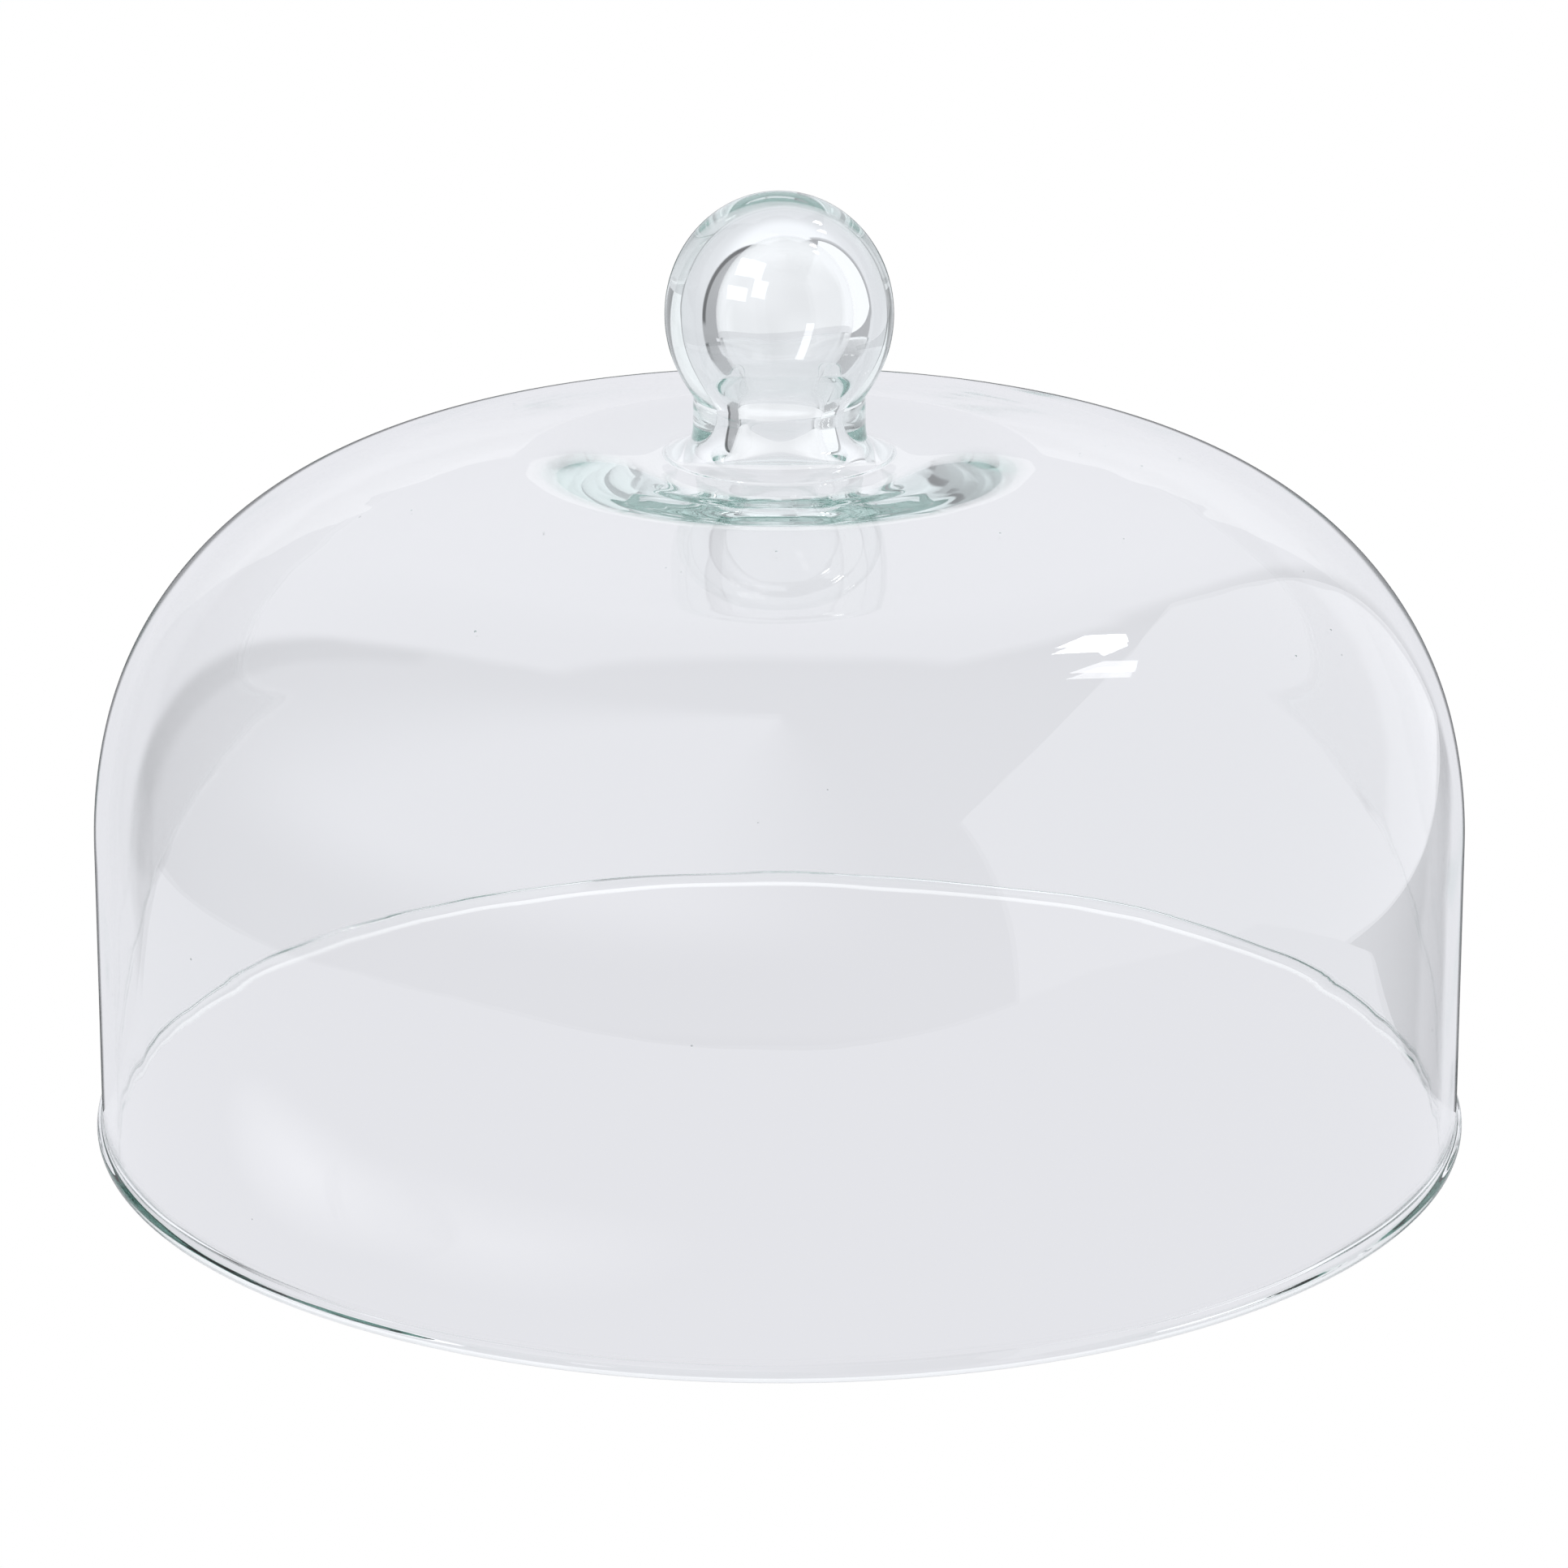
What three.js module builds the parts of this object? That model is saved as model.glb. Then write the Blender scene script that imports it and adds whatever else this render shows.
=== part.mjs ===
// Glass cake dome: a blown bell with a thick crown and a fire-polished rim bead,
// and a hollow pear-shaped knob fused hot onto the crown. The knob's bore runs on
// through the crown, so its hollow and the inside of the bell are one space.
//
// Millimetres, +Z up. The origin is the centre of the circle that the rim rests on.
// Both pieces are solids of revolution about Z, so each one is a closed outline of
// (radius, height) points, turned once round by a LatheGeometry.

import * as THREE from 'three';

// ---- driving dimensions ----

// Bell
const RIM_RADIUS = 150; // widest, across the bead
const WALL_RADIUS = 148.75; // outside of the upright wall
const WALL_THICKNESS = 3;
const WALL_HEIGHT = 67.2; // where the upright wall starts to curve in
const SHOULDER_RADIUS = 98.9; // first, slow part of the curve
const SHOULDER_ANGLE = THREE.MathUtils.degToRad(13.8);
const HAUNCH_RADIUS = 72.35; // tighter part that turns over into the crown
const CROWN_RADIUS = 500; // almost flat top
const CROWN_THICKNESS = 6.2; // at the throat, thinning outwards
const TAPER_RADIUS = 62; // from here out, the bell is as thin as its wall

// Rim bead
const BEAD_HEIGHT = 4;
const BEAD_WIDEST_HEIGHT = 1.9;
const BEAD_INNER_RADIUS = 145.2;
const BEAD_CORNER = 1.2; // radial width of the rounding beside the flat underside

// Knob
const KNOB_TOP = 208.8;
const BALL_RADIUS = 24.45;
const BALL_HALF_HEIGHT = 26.3;
const BALL_END_ANGLE = THREE.MathUtils.degToRad(-31); // the ball runs into the neck here
const WAIST_RADIUS = 18.5;
const WAIST_HEIGHT = 160;
const FOOT_RADIUS = 24.5;
const FOOT_EDGE = 0.8; // height of the upright edge of the foot
const NECK_REACH = 6.5; // how far the neck's curve leads out of the ball and into the waist

// Hollow inside the knob
const KNOB_WALL = 9.7; // the hollow follows the ball and neck at this depth
const THROAT_RADIUS = 13.5; // where the bore passes through the crown

const FUSED_GAP = 0.3; // left between the knob's foot and the crown
const BELL_SEGMENTS = 64;
const KNOB_SEGMENTS = 36;

// ---- outline helpers: lists of (radius, height) points ----

const point = (radius, height) => new THREE.Vector2(radius, height);

// Points along an ellipse's arc, both ends included.
function arc(centreRadius, centreHeight, halfWidth, halfHeight, from, to, steps) {
  const points = [];
  for (let i = 0; i <= steps; i += 1) {
    const angle = THREE.MathUtils.lerp(from, to, i / steps);
    points.push(point(
      centreRadius + halfWidth * Math.cos(angle),
      centreHeight + halfHeight * Math.sin(angle),
    ));
  }
  return points;
}

// Points along a cubic curve between two points, both ends included.
function blend(start, startPull, endPull, end, steps) {
  return new THREE.CubicBezierCurve(start, startPull, endPull, end).getPoints(steps);
}

// Joins stretches of outline that share their end points.
function joined(...stretches) {
  return stretches.flatMap((stretch, i) => (i === 0 ? stretch : stretch.slice(1)));
}

// ---- the bell's outer surface: three arcs, each tangent to the next ----

const QUARTER_TURN = Math.PI / 2;

const shoulderCentre = point(WALL_RADIUS - SHOULDER_RADIUS, WALL_HEIGHT);
const haunchCentre = shoulderCentre.clone().add(
  point(Math.cos(SHOULDER_ANGLE), Math.sin(SHOULDER_ANGLE))
    .multiplyScalar(SHOULDER_RADIUS - HAUNCH_RADIUS),
);
const crownCentreHeight = haunchCentre.y
  - Math.sqrt((CROWN_RADIUS - HAUNCH_RADIUS) ** 2 - haunchCentre.x ** 2);
const crownStartAngle = Math.atan2(haunchCentre.y - crownCentreHeight, haunchCentre.x);

// Height of the crown's outer surface at a given distance from the axis.
function crownHeight(radius) {
  return crownCentreHeight + Math.sqrt(CROWN_RADIUS ** 2 - radius ** 2);
}

// How thick the bell is at a given distance from the axis.
function bellThickness(radius) {
  const towardsThroat = 1 - THREE.MathUtils.smoothstep(radius, THROAT_RADIUS, TAPER_RADIUS);
  return WALL_THICKNESS + (CROWN_THICKNESS - WALL_THICKNESS) * towardsThroat;
}

// One arc of the bell, thinned by the bell's thickness when inner is true.
function bellArc(centre, radius, from, to, steps, inner) {
  const outerPoints = arc(centre.x, centre.y, radius, radius, from, to, steps);
  if (!inner) {
    return outerPoints;
  }
  return outerPoints.map((p) => {
    const inwards = centre.clone().sub(p).normalize();
    return p.clone().add(inwards.multiplyScalar(bellThickness(p.x)));
  });
}

// The bell from the top of its wall to the throat in the crown.
function bellCurve(inner) {
  const throatAngle = Math.acos(THROAT_RADIUS / CROWN_RADIUS);
  const crownCentre = point(0, crownCentreHeight);
  return joined(
    bellArc(shoulderCentre, SHOULDER_RADIUS, 0, SHOULDER_ANGLE, 3, inner),
    bellArc(haunchCentre, HAUNCH_RADIUS, SHOULDER_ANGLE, crownStartAngle, 9, inner),
    bellArc(crownCentre, CROWN_RADIUS, crownStartAngle, throatAngle, 9, inner),
  );
}

function bellOutline() {
  const innerWallRadius = WALL_RADIUS - WALL_THICKNESS;
  const upperBead = BEAD_HEIGHT - BEAD_WIDEST_HEIGHT;
  const outerBead = joined(
    arc(RIM_RADIUS - BEAD_CORNER, BEAD_WIDEST_HEIGHT, BEAD_CORNER, BEAD_WIDEST_HEIGHT,
      -QUARTER_TURN, 0, 4),
    arc(WALL_RADIUS, BEAD_WIDEST_HEIGHT, RIM_RADIUS - WALL_RADIUS, upperBead,
      0, QUARTER_TURN, 4),
  );
  const innerBead = joined(
    arc(innerWallRadius, BEAD_WIDEST_HEIGHT, innerWallRadius - BEAD_INNER_RADIUS, upperBead,
      QUARTER_TURN, Math.PI, 3),
    arc(BEAD_INNER_RADIUS + BEAD_CORNER, BEAD_WIDEST_HEIGHT, BEAD_CORNER, BEAD_WIDEST_HEIGHT,
      Math.PI, Math.PI + QUARTER_TURN, 4),
  );
  const closing = outerBead[0].clone();
  return [...outerBead, ...bellCurve(false), ...bellCurve(true).reverse(), ...innerBead, closing];
}

// ---- the knob ----

// The ball and the neck under it, from the top down to the waist.
function ballAndNeck() {
  const ball = arc(0, KNOB_TOP - BALL_HALF_HEIGHT, BALL_RADIUS, BALL_HALF_HEIGHT,
    QUARTER_TURN, BALL_END_ANGLE, 16);
  const ballEnd = ball[ball.length - 1];
  const ballTangent = point(
    BALL_RADIUS * Math.sin(BALL_END_ANGLE),
    -BALL_HALF_HEIGHT * Math.cos(BALL_END_ANGLE),
  ).normalize();
  const neck = blend(
    ballEnd,
    ballEnd.clone().addScaledVector(ballTangent, NECK_REACH),
    point(WAIST_RADIUS, WAIST_HEIGHT + NECK_REACH),
    point(WAIST_RADIUS, WAIST_HEIGHT),
    6,
  );
  return joined(ball, neck);
}

function knobOuter() {
  const footTop = crownHeight(FOOT_RADIUS) + FUSED_GAP + FOOT_EDGE;
  const flare = blend(
    point(WAIST_RADIUS, WAIST_HEIGHT),
    point(WAIST_RADIUS, WAIST_HEIGHT - 4.2),
    point(FOOT_RADIUS - 3.5, footTop + 0.5),
    point(FOOT_RADIUS, footTop),
    6,
  );
  return joined(ballAndNeck(), flare);
}

// The hollow, from its top down to the throat: the knob's own shape, one wall inwards.
function knobHollow() {
  const outside = ballAndNeck();
  const lastIndex = outside.length - 1;
  const pear = outside.map((p, i) => {
    const along = outside[Math.min(i + 1, lastIndex)].clone().sub(outside[Math.max(i - 1, 0)]);
    const inwards = i === 0 ? point(0, -1) : point(along.y, -along.x).normalize();
    return p.clone().addScaledVector(inwards, KNOB_WALL);
  });
  pear[0].x = 0;
  const bore = pear[lastIndex];
  const throatTop = crownHeight(THROAT_RADIUS) + FUSED_GAP;
  const mouth = blend(
    bore,
    point(bore.x, bore.y - 3.5),
    point(THROAT_RADIUS - 0.8, throatTop + 2.4),
    point(THROAT_RADIUS, throatTop),
    4,
  );
  return joined(pear, mouth);
}

// Underside of the foot: it follows the crown, from the throat out to the foot's edge.
function knobUnderside() {
  const steps = 2;
  const points = [];
  for (let i = 0; i <= steps; i += 1) {
    const radius = THREE.MathUtils.lerp(THROAT_RADIUS, FOOT_RADIUS, i / steps);
    points.push(point(radius, crownHeight(radius) + FUSED_GAP));
  }
  return points;
}

function knobOutline() {
  const hollow = joined(knobHollow(), knobUnderside());
  return [...hollow, ...knobOuter().reverse()];
}

// ---- assembly ----

function glass(color) {
  return new THREE.MeshStandardMaterial({
    color,
    roughness: 0.02,
    metalness: 0,
    transparent: true,
    opacity: 0.35,
    side: THREE.DoubleSide,
  });
}

// Turns an outline round Z into a named mesh.
function turned(name, outline, segments, material) {
  const geometry = new THREE.LatheGeometry(outline, segments);
  geometry.rotateX(QUARTER_TURN);
  const mesh = new THREE.Mesh(geometry, material);
  mesh.name = name;
  return mesh;
}

const dome = new THREE.Group();
dome.name = 'cake_dome';
dome.add(turned('bell', bellOutline(), BELL_SEGMENTS, glass(0xe6e8ec)));
dome.add(turned('knob', knobOutline(), KNOB_SEGMENTS, glass(0xdcebe8)));

export default dome;
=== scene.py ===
"""Glass cake dome: a blown bell with a beaded rim and a hollow pear-shaped knob.

The knob was fused onto the bell while both were hot, so the glass is one closed skin: rim bead,
wall, crown and knob outside, then the knob's hollow, its bore and the inside of the bell.
The skin's outline repeats the CAD's measures, in millimetres, and is turned round Z in metres.
"""

import math
import random

import bmesh
import bpy
from mathutils import Matrix, Vector, noise


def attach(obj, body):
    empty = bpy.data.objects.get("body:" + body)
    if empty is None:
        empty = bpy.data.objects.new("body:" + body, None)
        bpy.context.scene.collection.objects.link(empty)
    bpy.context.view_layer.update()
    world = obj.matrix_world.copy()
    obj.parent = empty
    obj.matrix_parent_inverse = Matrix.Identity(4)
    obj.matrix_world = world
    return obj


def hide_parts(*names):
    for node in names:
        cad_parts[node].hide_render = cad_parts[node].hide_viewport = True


MM = 0.001
QUARTER_TURN = math.pi / 2

# ---- the bell, in millimetres ----

RIM_RADIUS = 150.0
WALL_RADIUS = 148.75
WALL_THICKNESS = 3.0
WALL_HEIGHT = 67.2
SHOULDER_RADIUS = 98.9
SHOULDER_ANGLE = math.radians(13.8)
HAUNCH_RADIUS = 72.35
CROWN_RADIUS = 500.0
CROWN_THICKNESS = 7.3
THICK_RADIUS = 26.0  # the crown is at its thickest up to here
TAPER_RADIUS = 57.0  # and down to the wall's thickness here
THICK_SHIFT = 9.0  # the front of the crown's thick middle is drawn back this far

BEAD_HEIGHT = 4.0
BEAD_WIDEST_HEIGHT = 1.9
BEAD_INNER_RADIUS = 145.2
BEAD_CORNER = 1.2

# ---- the knob ----

KNOB_TOP = 208.8
BALL_RADIUS = 24.45
BALL_HALF_HEIGHT = 26.3
BALL_END_ANGLE = math.radians(-31)
WAIST_RADIUS = 18.5
WAIST_HEIGHT = 160.0
NECK_REACH = 6.5
FOOT_RADIUS = 24.5
FOOT_EDGE = 0.15
KNOB_WALL = 9.7
THROAT_RADIUS = 27.0  # the trumpet mouth runs out into the crown's inside here
MOUTH_DROP = 7.0
MOUTH_REACH = 10.0
FLARE_DROP = 5.0
FLARE_REACH = 6.0
CAVITY_SHIFT = 0.8  # the hollow sits a little to one side, as blown hollows do

# ---- the skin's detail, in millimetres ----

TURN_STEPS = 320
RIM_SWAY = 0.9
WAVE_LENGTH = 34.0
WAVE_DEPTH = 0.05
SEED_COUNT = 34
SEED_SMALLEST = 0.14
SEED_LARGEST = 0.3

# ---- the glass ----

GREEN_DENSITY = 4.2  # absorption per metre
GLASS_GREEN = (0.2, 0.52, 0.45, 1)
GLASS_IOR = 1.5
PATCH_SCALE = 14.0  # patches per metre
PATCH_ROUGHNESS = 0.03
RIPPLE_SCALE = 45.0
RIPPLE_DEPTH = 0.00006  # metres
RIPPLE_STRENGTH = 1.0

# ---- the studio's light; angles in degrees, distances in metres ----

TABLE_SEEN = (0.78, 0.783, 0.82)
TABLE_RADIUS = 0.525
TENT_SEEN = (1.03, 1.032, 1.07)
WALL_BEHIND_SPAN = (-25, 25)
WALL_BEHIND_HEIGHTS = (-30, -2)
WALL_BEHIND_SOFTNESS = 6
WALL_BEHIND_DARK = 0.12
ROOM_LIGHT = 0.45
BACKDROP_SPAN = (-44, 30)
BACKDROP_HEIGHTS = (-8, 64)
BACKDROP_LIGHT = 0.55
LOWEST = -60
LOW_LIGHT = 0.36
CEILING_SPAN = (180, 280)
CEILING_SOFTNESS = 25
CEILING_LIGHT = 0.7
LEFT_FLAG = (-52, -45)
LEFT_FLAG_HEIGHTS = (-15, 50)
LEFT_FLAG_DARK = 0.7
RIGHT_FLAG = (26, 31)
RIGHT_FLAG_HEIGHTS = (-15, 45)
RIGHT_FLAG_DARK = 0.4
FLAG_SOFTNESS = 1.5
EDGE_SOFTNESS = 2
NOTCH_WIDTH = 15.0  # the dark strip behind the dome, which draws its outline
NOTCH_TOP = -8.0
NOTCH_DARK = 0.9
AROUND_SPAN = (45, 305)  # and the one on the other sides
AROUND_TOP = -13.0
SHEET_LIGHT = 0.85
WINDOW_LIGHT = 1.05
LAMP_LIGHT = 8.0
SECOND_LAMP_LIGHT = 4.8
LAMP_TARGET = (0.065, -0.086, 0.138)  # the spot on the haunch that mirrors the lamps
LAMP_DISTANCE = 1.6
KEY_LAMP = ((36, 56), (33, 51), (37, 48), (41, 49), (43, 52), (40, 52))  # azimuth, elevation
SECOND_LAMP = ((54, 59), (49, 54), (51, 50), (57, 51), (56, 55))
PANE_LIGHT = 6.0
NEAR_REACH = 0.028  # metres: only the knob is as close to its panes
SCREEN_NEAR = 10
SCREEN_FAR = 26
SCREEN_LOW = -40
SCREEN_HIGH = 40
SCREEN_DARK = 0.8

# ---- the camera ----

CAMERA_PLACE = (0.001, -1.58, 0.6276)
CAMERA_DOWN = 0.3356  # radians below level
CAMERA_LENS = 176.7
MOST_BOUNCES = 128


# ---- outline helpers: lists of (radius, height) ----

def arc(centre_radius, centre_height, half_width, half_height, start, end, steps):
    """Points along an ellipse's arc, both ends included."""
    points = []
    for step in range(steps + 1):
        angle = start + (end - start) * step / steps
        points.append((
            centre_radius + half_width * math.cos(angle),
            centre_height + half_height * math.sin(angle),
        ))
    return points


def blend(start, start_pull, end_pull, end, steps):
    """Points along a cubic curve, both ends included."""
    points = []
    for step in range(steps + 1):
        t = step / steps
        u = 1 - t
        weights = (u ** 3, 3 * u * u * t, 3 * u * t * t, t ** 3)
        corners = (start, start_pull, end_pull, end)
        points.append(tuple(
            sum(weight * corner[axis] for weight, corner in zip(weights, corners))
            for axis in (0, 1)
        ))
    return points


def straight(start, end, steps):
    """Points along a line, both ends included."""
    return [
        tuple(a + (b - a) * step / steps for a, b in zip(start, end))
        for step in range(steps + 1)
    ]


def smooth_step(value, low, high):
    t = min(max((value - low) / (high - low), 0.0), 1.0)
    return t * t * (3 - 2 * t)


# ---- the bell's outline ----

SHOULDER_CENTRE = (WALL_RADIUS - SHOULDER_RADIUS, WALL_HEIGHT)
HAUNCH_CENTRE = (
    SHOULDER_CENTRE[0] + (SHOULDER_RADIUS - HAUNCH_RADIUS) * math.cos(SHOULDER_ANGLE),
    SHOULDER_CENTRE[1] + (SHOULDER_RADIUS - HAUNCH_RADIUS) * math.sin(SHOULDER_ANGLE),
)
CROWN_CENTRE = (
    0.0,
    HAUNCH_CENTRE[1] - math.sqrt((CROWN_RADIUS - HAUNCH_RADIUS) ** 2 - HAUNCH_CENTRE[0] ** 2),
)
CROWN_START = math.atan2(HAUNCH_CENTRE[1] - CROWN_CENTRE[1], HAUNCH_CENTRE[0])


def crown_height(radius):
    """Height of the crown's outer surface at a distance from the axis."""
    return CROWN_CENTRE[1] + math.sqrt(CROWN_RADIUS ** 2 - radius ** 2)


def bell_thickness(radius):
    towards_throat = 1 - smooth_step(radius, THICK_RADIUS, TAPER_RADIUS)
    return WALL_THICKNESS + (CROWN_THICKNESS - WALL_THICKNESS) * towards_throat


def bell_curve(end_radius, inner):
    """The bell from the top of its wall up to a given radius on the crown."""
    end_angle = math.acos(end_radius / CROWN_RADIUS)
    stretches = (
        (SHOULDER_CENTRE, SHOULDER_RADIUS, 0.0, SHOULDER_ANGLE, 14),
        (HAUNCH_CENTRE, HAUNCH_RADIUS, SHOULDER_ANGLE, CROWN_START, 60),
        (CROWN_CENTRE, CROWN_RADIUS, CROWN_START, end_angle, 80),
    )
    points = []
    for centre, radius, start, end, steps in stretches:
        for r, z in arc(*centre, radius, radius, start, end, steps):
            if inner:
                reach = bell_thickness(r) / math.hypot(centre[0] - r, centre[1] - z)
                r, z = r + (centre[0] - r) * reach, z + (centre[1] - z) * reach
            points.append((r, z))
    return points


def wall(radius):
    """The upright wall, in many short steps so that its shading stays true."""
    return straight((radius, BEAD_HEIGHT), (radius, WALL_HEIGHT), 48)


def bead(outer):
    """Half of the rim bead, from the flat underside up to the wall."""
    if outer:
        edge, wall_radius, side = RIM_RADIUS, WALL_RADIUS, 1
    else:
        edge, wall_radius, side = BEAD_INNER_RADIUS, WALL_RADIUS - WALL_THICKNESS, -1
    rise = BEAD_HEIGHT - BEAD_WIDEST_HEIGHT
    points = []
    for step in range(11):
        angle = -QUARTER_TURN * (1 - step / 10)
        points.append((
            edge - side * BEAD_CORNER * (1 - math.cos(angle)),
            BEAD_WIDEST_HEIGHT + BEAD_WIDEST_HEIGHT * math.sin(angle),
        ))
    for step in range(1, 11):
        turn = 0.5 - 0.5 * math.cos(math.pi * step / 10)
        points.append((edge + (wall_radius - edge) * turn, BEAD_WIDEST_HEIGHT + rise * step / 10))
    return points


# ---- the knob's outline ----

def ball_and_neck():
    """The knob from its top down to the waist."""
    centre_height = KNOB_TOP - BALL_HALF_HEIGHT
    ball = arc(0, centre_height, BALL_RADIUS, BALL_HALF_HEIGHT, QUARTER_TURN, BALL_END_ANGLE, 90)
    end = ball[-1]
    tangent = Vector((
        BALL_RADIUS * math.sin(BALL_END_ANGLE),
        -BALL_HALF_HEIGHT * math.cos(BALL_END_ANGLE),
    )).normalized()
    neck = blend(
        end,
        (end[0] + tangent.x * NECK_REACH, end[1] + tangent.y * NECK_REACH),
        (WAIST_RADIUS, WAIST_HEIGHT + NECK_REACH),
        (WAIST_RADIUS, WAIST_HEIGHT),
        30,
    )
    return ball + neck[1:]


def knob_outer():
    """The knob from its top down to the foot's edge on the crown."""
    foot_top = crown_height(FOOT_RADIUS) + FOOT_EDGE
    flare = blend(
        (WAIST_RADIUS, WAIST_HEIGHT),
        (WAIST_RADIUS, WAIST_HEIGHT - FLARE_DROP),
        (FOOT_RADIUS - FLARE_REACH, foot_top + 0.5),
        (FOOT_RADIUS, foot_top),
        24,
    )
    return ball_and_neck() + flare[1:]


def knob_hollow():
    """The hollow follows the knob's own shape at the wall's depth, then opens into the throat."""
    outside = ball_and_neck()
    last = len(outside) - 1
    pear = [(0.0, outside[0][1] - KNOB_WALL)]
    for index in range(1, last + 1):
        before = outside[index - 1]
        after = outside[min(index + 1, last)]
        along = Vector((after[0] - before[0], after[1] - before[1])).normalized()
        radius, height = outside[index]
        pear.append((radius + along.y * KNOB_WALL, height - along.x * KNOB_WALL))
    bore = pear[-1]
    run_out, before = bell_curve(THROAT_RADIUS, True)[-1:-3:-1]
    slope = Vector((before[0] - run_out[0], before[1] - run_out[1])).normalized()
    mouth = blend(
        bore,
        (bore[0], bore[1] - MOUTH_DROP),
        (run_out[0] - slope.x * MOUTH_REACH, run_out[1] - slope.y * MOUTH_REACH),
        run_out,
        50,
    )
    return [point for point in pear + mouth[1:] if point[0] >= 0]


def dome_outline():
    """The whole closed outline: up the outside, down through the hollow, down the inside."""
    outside = bead(True) + wall(WALL_RADIUS) + bell_curve(FOOT_RADIUS, False)
    outside += list(reversed(knob_outer()))
    inside = knob_hollow() + list(reversed(bell_curve(THROAT_RADIUS, True)))
    inside += list(reversed(wall(WALL_RADIUS - WALL_THICKNESS)))
    inside += list(reversed(bead(False)))
    return outside, inside


# ---- turning an outline into a skin ----

def without_repeats(points):
    kept = [points[0]]
    for point in points[1:]:
        if math.dist(point, kept[-1]) > 0.001:
            kept.append(point)
    return kept


def rim_wobble(angle, height):
    """How far the fire-polished bead wanders up and down, fading out up the wall."""
    around = Vector((2.2 * math.cos(angle), 2.2 * math.sin(angle), 7.3))
    fine = Vector((6.1 * math.cos(angle), 6.1 * math.sin(angle), 2.9))
    sway = noise.noise(around) + 0.45 * noise.noise(fine)
    lifted = smooth_step(height, 1.0, BEAD_HEIGHT) * (1 - smooth_step(height, 6.0, 22.0))
    return RIM_SWAY * sway * lifted


def blown_wave(radius, angle, height):
    """The inner skin's slow waves, left by blowing."""
    scale = 1 / WAVE_LENGTH
    spot = Vector((radius * math.cos(angle), radius * math.sin(angle), 1.6 * height)) * scale
    fade = smooth_step(radius, THROAT_RADIUS, TAPER_RADIUS) * smooth_step(height, 6.0, 20.0)
    return WAVE_DEPTH * noise.noise(spot) * fade


def ring(skin, radius, height, shift=(0.0, 0.0), inner=False):
    """One ring of vertices, or a single vertex on the axis.

    The shift across moves the whole ring, and the shift back moves most its front.
    """
    across, back = shift
    if radius < 0.01:
        return [skin.verts.new((across * MM, back * MM, height * MM))]
    vertices = []
    for step in range(TURN_STEPS):
        angle = math.tau * step / TURN_STEPS
        wave = blown_wave(radius, angle, height) if inner else 0.0
        drawn_back = back * (1 - math.sin(angle)) / 2
        vertices.append(skin.verts.new((
            ((radius + wave) * math.cos(angle) + across) * MM,
            ((radius + wave) * math.sin(angle) + drawn_back) * MM,
            (height + rim_wobble(angle, height)) * MM,
        )))
    return vertices


def stitch(skin, lower, upper):
    """Faces between two neighbouring rings."""
    for step in range(TURN_STEPS):
        beside = (step + 1) % TURN_STEPS
        if len(lower) == 1:
            corners = (lower[0], upper[beside], upper[step])
        elif len(upper) == 1:
            corners = (lower[step], lower[beside], upper[0])
        else:
            corners = (lower[step], lower[beside], upper[beside], upper[step])
        skin.faces.new(corners)


def inner_shift(radius, height):
    """How far an inner ring is off the axis, across and back, as blown hollows are."""
    across = CAVITY_SHIFT * smooth_step(height, WAIST_HEIGHT - 4, KNOB_TOP - BALL_HALF_HEIGHT)
    back = 0.0
    if height < WAIST_HEIGHT - 8:
        back = THICK_SHIFT * smooth_step(radius, THROAT_RADIUS, THROAT_RADIUS + 18)
        back *= 1 - smooth_step(radius, TAPER_RADIUS - 9, TAPER_RADIUS + 45)
    return across, back


def dome_skin():
    skin = bmesh.new()
    outside, inside = dome_outline()
    rings = [ring(skin, radius, height) for radius, height in without_repeats(outside)]
    rings += [
        ring(skin, radius, height, inner_shift(radius, height), inner=True)
        for radius, height in without_repeats(inside)
    ]
    top = next(index for index, one in enumerate(rings) if len(one) == 1)
    pairs = [(a, a + 1) for a in range(len(rings) - 1) if a != top]
    pairs.append((len(rings) - 1, 0))
    for lower, upper in pairs:
        stitch(skin, rings[lower], rings[upper])
    add_seeds(skin)
    skin.normal_update()
    return skin


def add_seeds(skin):
    """Tiny bubbles inside the wall: closed hollows, so their faces point into them."""
    chance = random.Random(5)
    inside = bell_curve(TAPER_RADIUS, True) + wall(WALL_RADIUS - WALL_THICKNESS)[8:]
    for _ in range(SEED_COUNT):
        radius, height = chance.choice(inside)
        angle = chance.uniform(0, math.tau)
        size = chance.uniform(SEED_SMALLEST, SEED_LARGEST)
        outwards = Vector((radius, height - 60)).normalized() * 1.5
        centre = Vector((
            (radius + outwards.x) * math.cos(angle),
            (radius + outwards.x) * math.sin(angle),
            height + outwards.y,
        )) * MM
        made = bmesh.ops.create_icosphere(
            skin, subdivisions=2, radius=size * MM, matrix=Matrix.Translation(centre))
        faces = {face for vertex in made["verts"] for face in vertex.link_faces}
        bmesh.ops.reverse_faces(skin, faces=list(faces))


def mesh_object(name, skin, material):
    mesh = bpy.data.meshes.new(name)
    skin.to_mesh(mesh)
    skin.free()
    mesh.polygons.foreach_set("use_smooth", [True] * len(mesh.polygons))
    mesh.materials.append(material)
    piece = bpy.data.objects.new(name, mesh)
    bpy.context.scene.collection.objects.link(piece)
    return piece


# ---- materials ----

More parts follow.
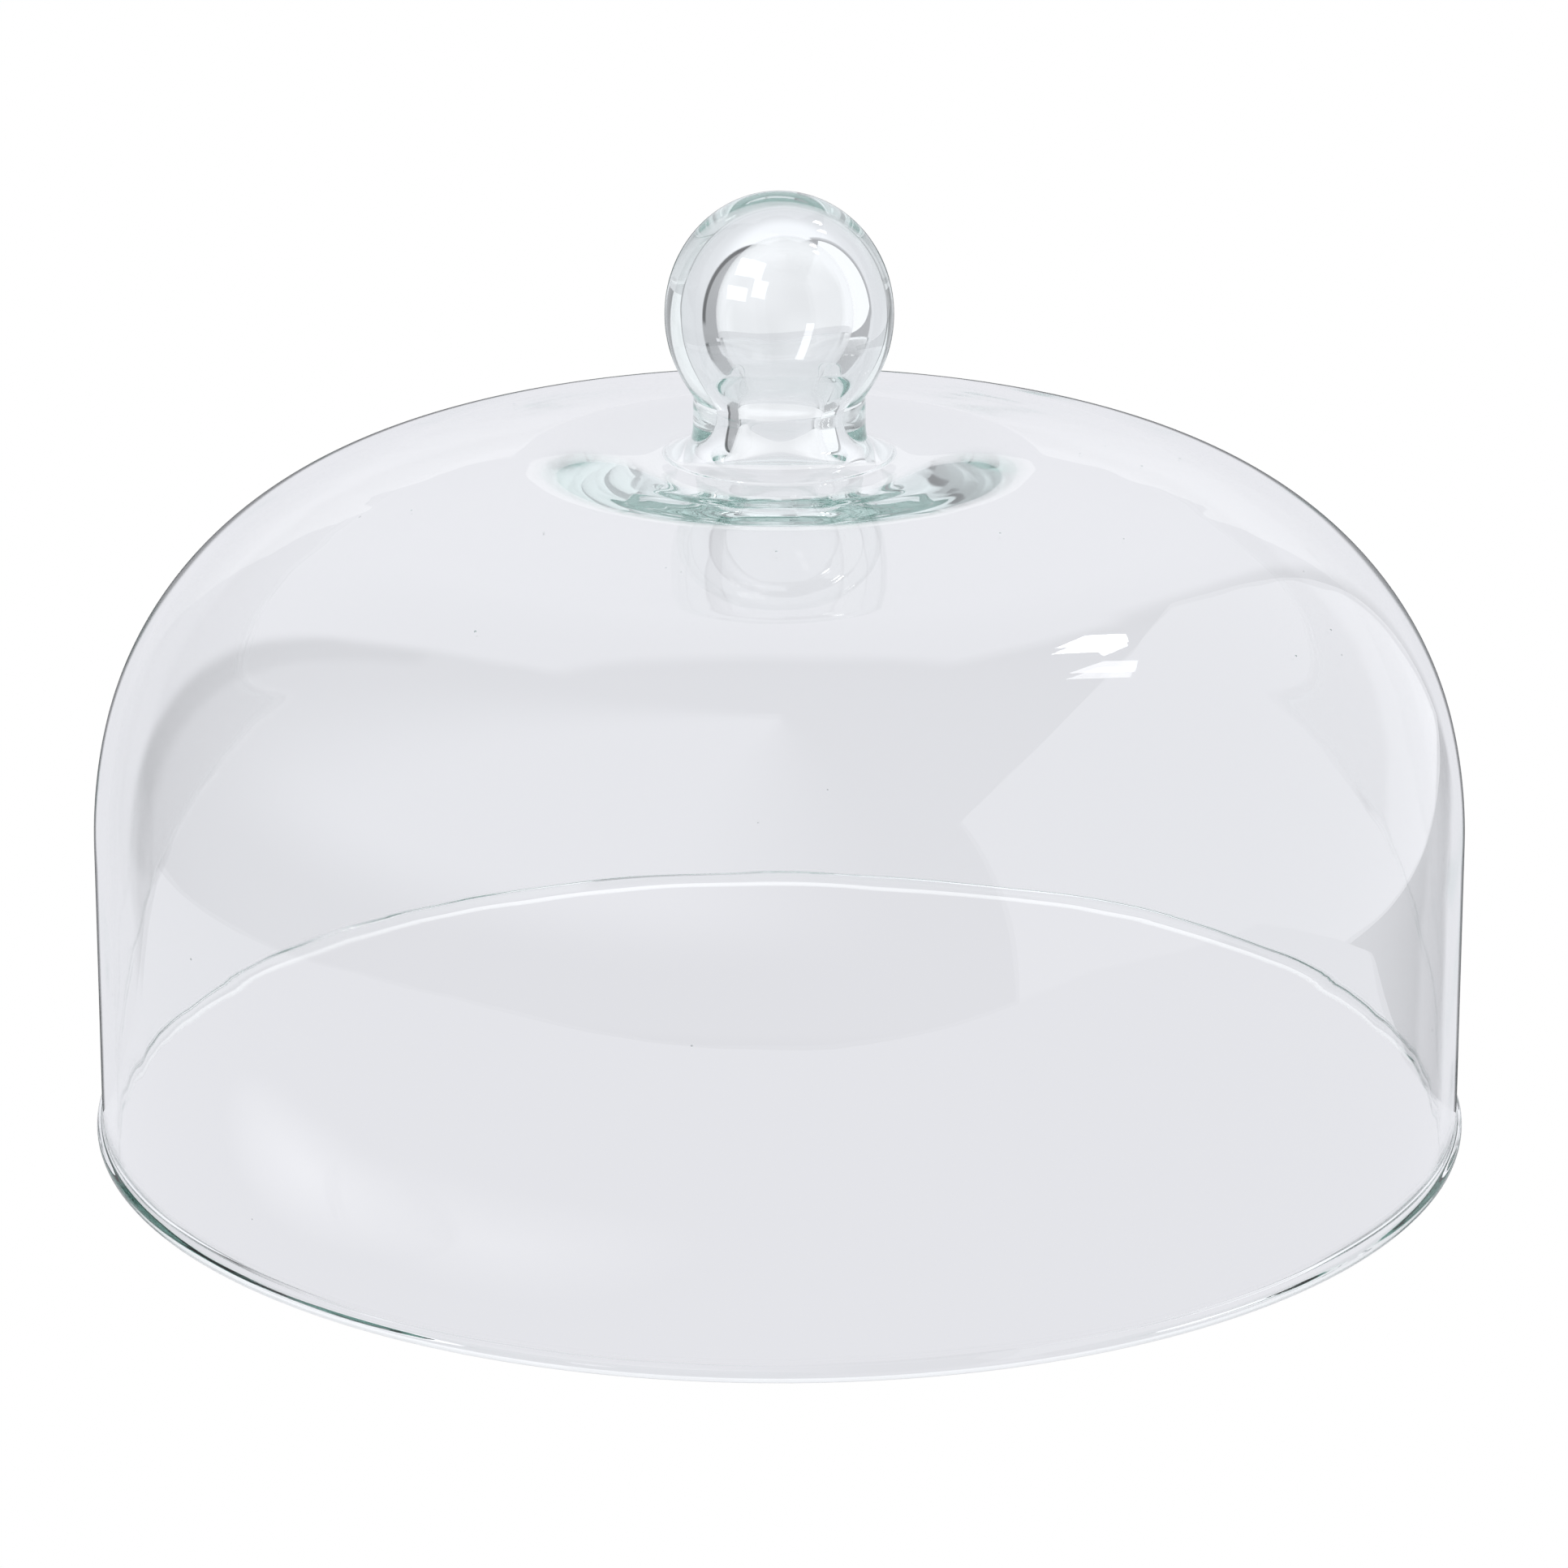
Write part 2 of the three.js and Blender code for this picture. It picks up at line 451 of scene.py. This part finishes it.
class NodeWriter:
    """Short ways to write a node tree."""

    def __init__(self, tree):
        self.tree = tree

    def _put(self, socket, value):
        if isinstance(value, (int, float)):
            socket.default_value = value
        else:
            self.tree.links.new(value, socket)

    def math(self, operation, a, b=None):
        node = self.tree.nodes.new("ShaderNodeMath")
        node.operation = operation
        self._put(node.inputs[0], a)
        if b is not None:
            self._put(node.inputs[1], b)
        return node.outputs[0]

    def rise(self, value, start, end):
        """0 below start, 1 above end, smooth between."""
        node = self.tree.nodes.new("ShaderNodeMapRange")
        node.interpolation_type = "SMOOTHSTEP"
        self._put(node.inputs["Value"], value)
        node.inputs["From Min"].default_value = start
        node.inputs["From Max"].default_value = end
        return node.outputs["Result"]

    def within(self, value, low, high, softness):
        """1 between low and high, 0 outside, with soft edges."""
        above = self.rise(value, low - softness, low + softness)
        below = self.math("SUBTRACT", 1, self.rise(value, high - softness, high + softness))
        return self.math("MULTIPLY", above, below)

    def background(self, color, strength=1.0):
        node = self.tree.nodes.new("ShaderNodeBackground")
        if isinstance(color, tuple):
            node.inputs["Color"].default_value = (*color, 1)
        else:
            self.tree.links.new(color, node.inputs["Color"])
        self._put(node.inputs["Strength"], strength)
        return node.outputs["Background"]

    def mix(self, factor, a, b):
        node = self.tree.nodes.new("ShaderNodeMixShader")
        self.tree.links.new(factor, node.inputs[0])
        self.tree.links.new(a, node.inputs[1])
        self.tree.links.new(b, node.inputs[2])
        return node.outputs[0]

    def ramp(self, value, stops):
        node = self.tree.nodes.new("ShaderNodeValToRGB")
        self.tree.links.new(value, node.inputs[0])
        elements = node.color_ramp.elements
        elements.remove(elements[-1])
        for index, (position, shade) in enumerate(stops):
            element = elements[0] if index == 0 else elements.new(position)
            element.position = position
            element.color = (*shade, 1)
        return node.outputs["Color"]


def new_material(name):
    material = bpy.data.materials.new(name)
    material.use_nodes = True
    return material, material.node_tree


def surface_noise(tree, place, scale, detail):
    """Random patches over the object, in its own space."""
    texture = tree.nodes.new("ShaderNodeTexNoise")
    texture.inputs["Scale"].default_value = scale
    texture.inputs["Detail"].default_value = detail
    tree.links.new(place, texture.inputs["Vector"])
    return texture.outputs["Fac"]


def clear_glass():
    """Soda-lime glass: clear in the thin wall, faintly green where it is thick.

    Its polish has a few dull wiped patches, and its skin the faint ripple of blown glass.
    """
    material, tree = new_material("clear_glass")
    nodes = NodeWriter(tree)
    surface = tree.nodes["Principled BSDF"]
    surface.inputs["Base Color"].default_value = (1, 1, 1, 1)
    surface.inputs["IOR"].default_value = GLASS_IOR
    surface.inputs["Transmission Weight"].default_value = 1.0

    place = tree.nodes.new("ShaderNodeTexCoord").outputs["Object"]
    patches = nodes.rise(surface_noise(tree, place, PATCH_SCALE, 3.0), 0.5, 0.75)
    tree.links.new(nodes.math("MULTIPLY", patches, PATCH_ROUGHNESS), surface.inputs["Roughness"])
    ripple = tree.nodes.new("ShaderNodeBump")
    ripple.inputs["Strength"].default_value = RIPPLE_STRENGTH
    ripple.inputs["Distance"].default_value = RIPPLE_DEPTH
    tree.links.new(surface_noise(tree, place, RIPPLE_SCALE, 1.0), ripple.inputs["Height"])
    tree.links.new(ripple.outputs["Normal"], surface.inputs["Normal"])

    depth = tree.nodes.new("ShaderNodeVolumeAbsorption")
    depth.inputs["Color"].default_value = GLASS_GREEN
    depth.inputs["Density"].default_value = GREEN_DENSITY
    tree.links.new(depth.outputs["Volume"], tree.nodes["Material Output"].inputs["Volume"])
    return material


def path_share(nodes, tree, seen):
    """1 on the light paths that a stage panel serves, 0 on the others.

    "through" is what the glass lets through, "mirrored" all that it reflects, "inside" what is
    reflected within it, and "near_skin" what its outer skin reflects from close by.
    """
    path = tree.nodes.new("ShaderNodeLightPath")
    reflected = nodes.math("GREATER_THAN", path.outputs["Glossy Depth"], 0.5)
    if seen == "through":
        return nodes.math("SUBTRACT", 1, reflected)
    if seen == "inside":
        entered = nodes.math("GREATER_THAN", path.outputs["Transmission Depth"], 0.5)
        return nodes.math("MULTIPLY", reflected, entered)
    if seen == "near_skin":
        unentered = nodes.math("LESS_THAN", path.outputs["Transmission Depth"], 0.5)
        close = nodes.math("LESS_THAN", path.outputs["Ray Length"], NEAR_REACH)
        return nodes.math("MULTIPLY", reflected, nodes.math("MULTIPLY", unentered, close))
    return reflected


def glow(name, color, strength, seen, soft=False):
    """A light-giving panel, for what is seen through the glass, mirrored by it or inside it.

    A soft one fades out from its middle and lets what is behind it through.
    """
    material, tree = new_material(name)
    tree.nodes.clear()
    nodes = NodeWriter(tree)
    emission = tree.nodes.new("ShaderNodeEmission")
    emission.inputs["Color"].default_value = (*color, 1)
    emission.inputs["Strength"].default_value = strength
    clear = tree.nodes.new("ShaderNodeBsdfTransparent")
    output = tree.nodes.new("ShaderNodeOutputMaterial")
    lit = path_share(nodes, tree, seen)
    shining = emission.outputs["Emission"]
    if soft:
        place = tree.nodes.new("ShaderNodeTexCoord")
        fade = tree.nodes.new("ShaderNodeTexGradient")
        fade.gradient_type = "SPHERICAL"
        tree.links.new(place.outputs["Object"], fade.inputs["Vector"])
        faded = nodes.math("MULTIPLY", fade.outputs["Fac"], strength)
        tree.links.new(faded, emission.inputs["Strength"])
        both = tree.nodes.new("ShaderNodeAddShader")
        tree.links.new(shining, both.inputs[0])
        tree.links.new(clear.outputs["BSDF"], both.inputs[1])
        shining = both.outputs["Shader"]
    shown = nodes.mix(lit, clear.outputs["BSDF"], shining)
    tree.links.new(shown, output.inputs["Surface"])
    return material


# ---- the studio ----

def stage_sheet(name, corners, color, strength, seen="mirrored"):
    """A flat light-giving panel of the studio; the camera doesn't see it."""
    skin = bmesh.new()
    skin.faces.new([skin.verts.new(corner) for corner in corners])
    panel = mesh_object(name, skin, glow(name, color, strength, seen))
    panel.visible_camera = False
    panel.visible_diffuse = False
    return panel


def round_corners(radius, height, start=0.0, end=math.tau, steps=64):
    """Points along a flat circle or part of one."""
    return [
        (radius * math.cos(start + (end - start) * step / steps),
         radius * math.sin(start + (end - start) * step / steps), height)
        for step in range(steps)
    ]


def table():
    """A pale table: one sheet seen through the glass, one that only light inside it meets.

    The camera sees neither, so the open picture stays white.
    """
    stage_sheet("table", round_corners(TABLE_RADIUS, -0.0002), TABLE_SEEN, 1.0, "through")
    stage_sheet("table_under_dome", round_corners(0.15, -0.0003), TABLE_SEEN, 1.0, "inside")


def table_front():
    """The part of the table that the dome's front mirrors: it ends at the table's edge, with
    painted shade under the dome.
    """
    height = -0.0004
    edge = ((-0.46, 0.15), (-0.48, -0.25), (-0.40, -0.38), (-0.30, -0.41), (0.05, -0.41),
            (0.20, -0.46), (0.65, -0.72), (1.0, -0.9), (1.0, -0.2), (0.30, 0.0))
    corners = [(x, y, height) for x, y in edge]
    # the disc under the dome is left out, so no light comes from there: painted shade under the
    # dome
    corners += round_corners(0.151, height, 0.0, -math.pi, 24)
    corners.append((-0.151, 0.0, height))
    stage_sheet("table_front", corners, (1, 1, 1.05), SHEET_LIGHT)


def painted_light_pools():
    """Painted pools of light: soft glowing patches on the table beside the dome, where it would
    throw light.
    """
    # painted light: each patch glows where the dome's thrown light would fall on the table
    for name, x, y, long, wide, turn, strength in (
        ("painted_light_pool_left", -0.172, -0.118, 0.075, 0.030, -40, 0.8),
        ("painted_light_pool_front", -0.105, -0.176, 0.085, 0.030, -30, 0.55),
    ):
        skin = bmesh.new()
        skin.faces.new([skin.verts.new(corner) for corner in round_corners(1.0, 0.0)])
        patch = mesh_object(name, skin, glow(name, (1, 1, 1), strength, "mirrored", soft=True))
        patch.location = (x, y, 0.0001)
        patch.scale = (long, wide, 1)
        patch.rotation_euler.z = math.radians(turn)
        patch.visible_camera = False


def pane(name, middle, across, up, width, height):
    """One window pane close to the knob, mirrored by the knob's skin alone."""
    corners = [
        middle + across * (x * width / 2) + up * (y * height / 2)
        for x, y in ((-1, -1), (1, -1), (1, 1), (-1, 1))
    ]
    stage_sheet(name, corners, (1, 1, 1), PANE_LIGHT, "near_skin")


def knob_panes():
    """A small window in three panes and a narrow one, which glint on the knob's front."""
    outwards = Vector((-0.43, -0.69, 0.58)).normalized()
    across = Vector((0.85, -0.53, 0.0)).normalized()
    up = outwards.cross(across)
    middle = Vector((-0.0154, -0.0329, 0.2052))
    for number, (x, y, width, height) in enumerate((
        (-2, 8, 15, 9.4),
        (-6.2, -5.6, 12, 7),
        (6.2, -1.2, 8, 9.4),
    )):
        spot = middle + (across * x + up * y) * MM
        pane(f"pane_{number}", spot, across, up, width * MM, height * MM)
    lean = Vector((0.35, 0.0, 0.94)).normalized()
    sideways = Vector((0.85, 0.5, -0.1)).normalized()
    pane("pane_narrow", Vector((0.0138, -0.0405, 0.1785)), sideways, lean, 0.0044, 0.0195)


def side_window():
    """A tall diffused window on the right."""
    distance = 1.0
    near, far, top = -1.33, 1.6, 1.69
    corners = ((distance, near, -0.2), (distance, far, -0.2), (distance, far, top),
               (distance, near, top))
    stage_sheet("side_window", corners, (1, 1, 1.04), WINDOW_LIGHT)


def aim(azimuth, elevation, distance, start):
    """The point at a distance from start in a direction; azimuth 0 is +Y, 90 is +X."""
    turn, rise = math.radians(azimuth), math.radians(elevation)
    return (
        start[0] + distance * math.cos(rise) * math.sin(turn),
        start[1] + distance * math.cos(rise) * math.cos(turn),
        start[2] + distance * math.sin(rise),
    )


def lamps():
    """Two bright lamps, partly cut off by flags: two small glints on the right haunch."""
    for name, strength, directions in (
        ("key_lamp", LAMP_LIGHT, KEY_LAMP),
        ("second_lamp", SECOND_LAMP_LIGHT, SECOND_LAMP),
    ):
        corners = [
            aim(azimuth, elevation, LAMP_DISTANCE, LAMP_TARGET)
            for azimuth, elevation in directions
        ]
        stage_sheet(name, corners, (1, 1, 1), strength)


def mirrored_light(nodes, azimuth, elevation, path):
    """The room that the glass mirrors: a backdrop behind, flags beside it, the room in front."""
    def patch(angle, angles, heights, softness=EDGE_SOFTNESS):
        across = nodes.within(angle, *angles, softness)
        return nodes.math("MULTIPLY", across, nodes.within(elevation, *heights, softness))

    def added(light, region, amount):
        return nodes.math("ADD", light, nodes.math("MULTIPLY", region, amount))

    def shaded(light, region, amount):
        kept = nodes.math("SUBTRACT", 1, nodes.math("MULTIPLY", region, amount))
        return nodes.math("MULTIPLY", light, kept)

    all_round = nodes.math("FLOORED_MODULO", azimuth, 360)
    below_backdrop = patch(azimuth, BACKDROP_SPAN, (LOWEST, BACKDROP_HEIGHTS[0]))
    room = added(ROOM_LIGHT, below_backdrop, LOW_LIGHT)
    backdrop = patch(azimuth, BACKDROP_SPAN, BACKDROP_HEIGHTS)
    upwards = nodes.rise(elevation, 0, 35)
    brighter_above = nodes.math("ADD", 0.7, nodes.math("MULTIPLY", upwards, 0.4))
    room = added(room, nodes.math("MULTIPLY", backdrop, brighter_above), BACKDROP_LIGHT)
    ceiling = nodes.math(
        "MULTIPLY",
        nodes.within(all_round, *CEILING_SPAN, CEILING_SOFTNESS),
        nodes.rise(elevation, 0, CEILING_SOFTNESS),
    )
    room = added(room, ceiling, CEILING_LIGHT)
    left_flag = patch(azimuth, LEFT_FLAG, LEFT_FLAG_HEIGHTS, FLAG_SOFTNESS)
    right_flag = patch(azimuth, RIGHT_FLAG, RIGHT_FLAG_HEIGHTS, FLAG_SOFTNESS)
    room = shaded(room, left_flag, LEFT_FLAG_DARK)
    room = shaded(room, right_flag, RIGHT_FLAG_DARK)

    # right behind the dome, and only for its own skin: this draws the thin dark outline
    skin_only = nodes.math("LESS_THAN", path.outputs["Transmission Depth"], 0.5)
    behind = patch(azimuth, (-NOTCH_WIDTH, NOTCH_WIDTH), (LOWEST, NOTCH_TOP))
    room = shaded(room, nodes.math("MULTIPLY", behind, skin_only), NOTCH_DARK)
    # a like strip helps the outline from the other sides
    around = patch(all_round, AROUND_SPAN, (LOWEST, AROUND_TOP))
    return shaded(room, nodes.math("MULTIPLY", around, skin_only), NOTCH_DARK)


def light_tent():
    """A white tent with two dark screens at the sides, seen bent through the thick glass.

    The camera sees plain white. What the glass mirrors is dimmer, as a dark room is.
    """
    world = bpy.data.worlds.new("light_tent")
    bpy.context.scene.world = world
    world.use_nodes = True
    tree = world.node_tree
    tree.nodes.clear()
    nodes = NodeWriter(tree)

    direction = tree.nodes.new("ShaderNodeTexCoord").outputs["Generated"]
    split = tree.nodes.new("ShaderNodeSeparateXYZ")
    tree.links.new(direction, split.inputs[0])
    to_degrees = 180 / math.pi
    elevation = nodes.math("MULTIPLY", nodes.math("ARCSINE", split.outputs["Z"]), to_degrees)
    azimuth = nodes.math("ARCTAN2", split.outputs["X"], split.outputs["Y"])
    azimuth = nodes.math("MULTIPLY", azimuth, to_degrees)
    off_side = nodes.math("ABSOLUTE", nodes.math("SUBTRACT", nodes.math("ABSOLUTE", azimuth), 90))

    screens = nodes.math(
        "MULTIPLY",
        nodes.within(off_side, SCREEN_NEAR, SCREEN_FAR, FLAG_SOFTNESS),
        nodes.within(elevation, SCREEN_LOW, SCREEN_HIGH, FLAG_SOFTNESS),
    )
    kept = nodes.math("SUBTRACT", 1, nodes.math("MULTIPLY", screens, SCREEN_DARK))
    wall_behind = nodes.math(
        "MULTIPLY",
        nodes.within(azimuth, *WALL_BEHIND_SPAN, WALL_BEHIND_SOFTNESS),
        nodes.within(elevation, *WALL_BEHIND_HEIGHTS, WALL_BEHIND_SOFTNESS),
    )
    dimmer = nodes.math("SUBTRACT", 1, nodes.math("MULTIPLY", wall_behind, WALL_BEHIND_DARK))
    kept = nodes.math("MULTIPLY", kept, dimmer)
    height = nodes.math("ADD", nodes.math("DIVIDE", elevation, 180), 0.5)
    tent = nodes.ramp(height, (
        (0.0, TENT_SEEN),
        (0.611, TENT_SEEN),
        (0.75, (0.82, 0.825, 0.86)),
        (0.833, (0.55, 0.555, 0.58)),
        (1.0, (0.75, 0.755, 0.79)),
    ))
    through = nodes.background(tent, kept)
    path = tree.nodes.new("ShaderNodeLightPath")
    mirrored = nodes.background((1, 1, 1.05), mirrored_light(nodes, azimuth, elevation, path))
    open_view = nodes.background((1, 1, 1))

    reflected = nodes.math("GREATER_THAN", path.outputs["Glossy Depth"], 0.5)
    seen = nodes.mix(reflected, through, mirrored)
    seen = nodes.mix(path.outputs["Is Camera Ray"], seen, open_view)
    output = tree.nodes.new("ShaderNodeOutputWorld")
    tree.links.new(seen, output.inputs["Surface"])


def camera():
    data = bpy.data.cameras.new("camera")
    data.sensor_width = 36
    data.lens = CAMERA_LENS
    data.clip_end = 100
    body = bpy.data.objects.new("camera", data)
    body.location = CAMERA_PLACE
    body.rotation_euler = (QUARTER_TURN - CAMERA_DOWN, 0, 0)
    bpy.context.scene.collection.objects.link(body)
    bpy.context.scene.camera = body


def light_paths():
    """Enough bounces for light to find its way through the thick knob."""
    scene = bpy.context.scene
    scene.cycles.max_bounces = MOST_BOUNCES
    scene.cycles.transmission_bounces = MOST_BOUNCES
    scene.cycles.glossy_bounces = MOST_BOUNCES
    scene.view_settings.view_transform = "Standard"


# ---- the model ----

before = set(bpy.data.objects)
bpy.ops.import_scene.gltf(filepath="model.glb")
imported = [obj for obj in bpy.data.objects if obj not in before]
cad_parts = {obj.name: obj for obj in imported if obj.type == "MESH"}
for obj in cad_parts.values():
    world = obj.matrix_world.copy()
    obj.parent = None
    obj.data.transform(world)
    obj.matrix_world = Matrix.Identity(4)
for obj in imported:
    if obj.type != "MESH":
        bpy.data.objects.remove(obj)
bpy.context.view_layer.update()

camera()
light_paths()
light_tent()
table()
table_front()
painted_light_pools()
side_window()
lamps()
knob_panes()

dome = mesh_object("dome_glass", dome_skin(), clear_glass())
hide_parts("bell", "knob")
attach(dome, "root")
